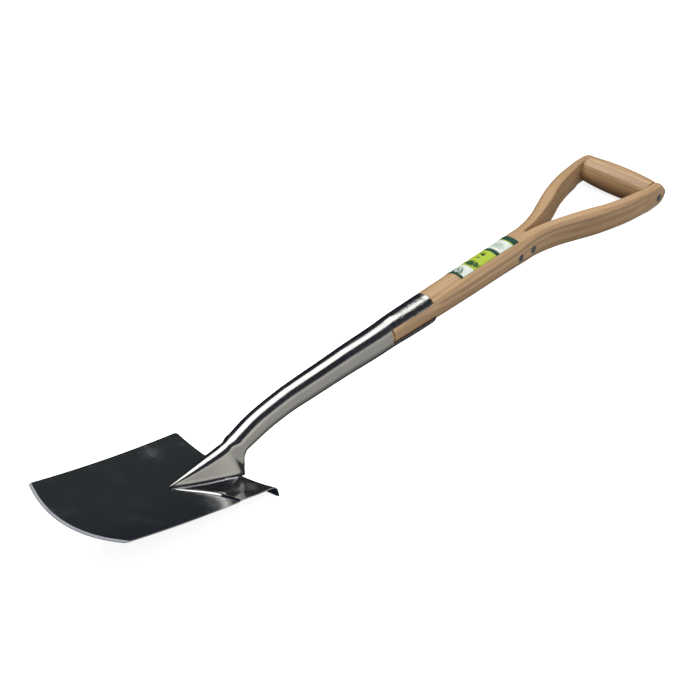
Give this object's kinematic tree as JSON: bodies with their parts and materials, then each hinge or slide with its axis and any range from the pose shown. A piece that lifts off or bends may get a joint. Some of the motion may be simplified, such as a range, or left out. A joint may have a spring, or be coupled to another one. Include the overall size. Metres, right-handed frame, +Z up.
{
  "type": "garden spade",
  "caption": "Border spade with a dished steel blade, rolled treads, a strapped swan-neck socket and a wooden shaft split into a fork that holds a turned crossbar grip.",
  "frame": {"origin": "middle of the bounding box in plan, on the floor plane that the rolled treads and the grip rest on", "axes": "+Y from the blade towards the grip, +X across the blade, +Z up, out of the blade's hollow face"},
  "size_m": [0.1518, 1.0205, 0.0818],
  "materials": {
    "polished_steel": "polished stainless steel, near mirror on the blade, lightly brushed lengthwise on the socket",
    "rivet_steel": "dull ground steel",
    "ash_wood": "light straight-grained ash under clear lacquer",
    "label_film": "thin printed wrap in plain green and white bands"
  },
  "bodies": {
    "root": {"blade": "polished_steel", "socket": "polished_steel", "shaft": "ash_wood", "grip": "ash_wood", "grip_pin": "rivet_steel", "grip_washer_left": "rivet_steel", "grip_washer_right": "rivet_steel", "fork_rivet_lower": "rivet_steel", "fork_rivet_upper": "rivet_steel", "fork_washer_lower_left": "rivet_steel", "fork_washer_lower_right": "rivet_steel", "fork_washer_upper_left": "rivet_steel", "fork_washer_upper_right": "rivet_steel", "strap_rivet_lower": "polished_steel", "strap_rivet_upper": "polished_steel", "label": "label_film"}
  },
  "joints": []
}
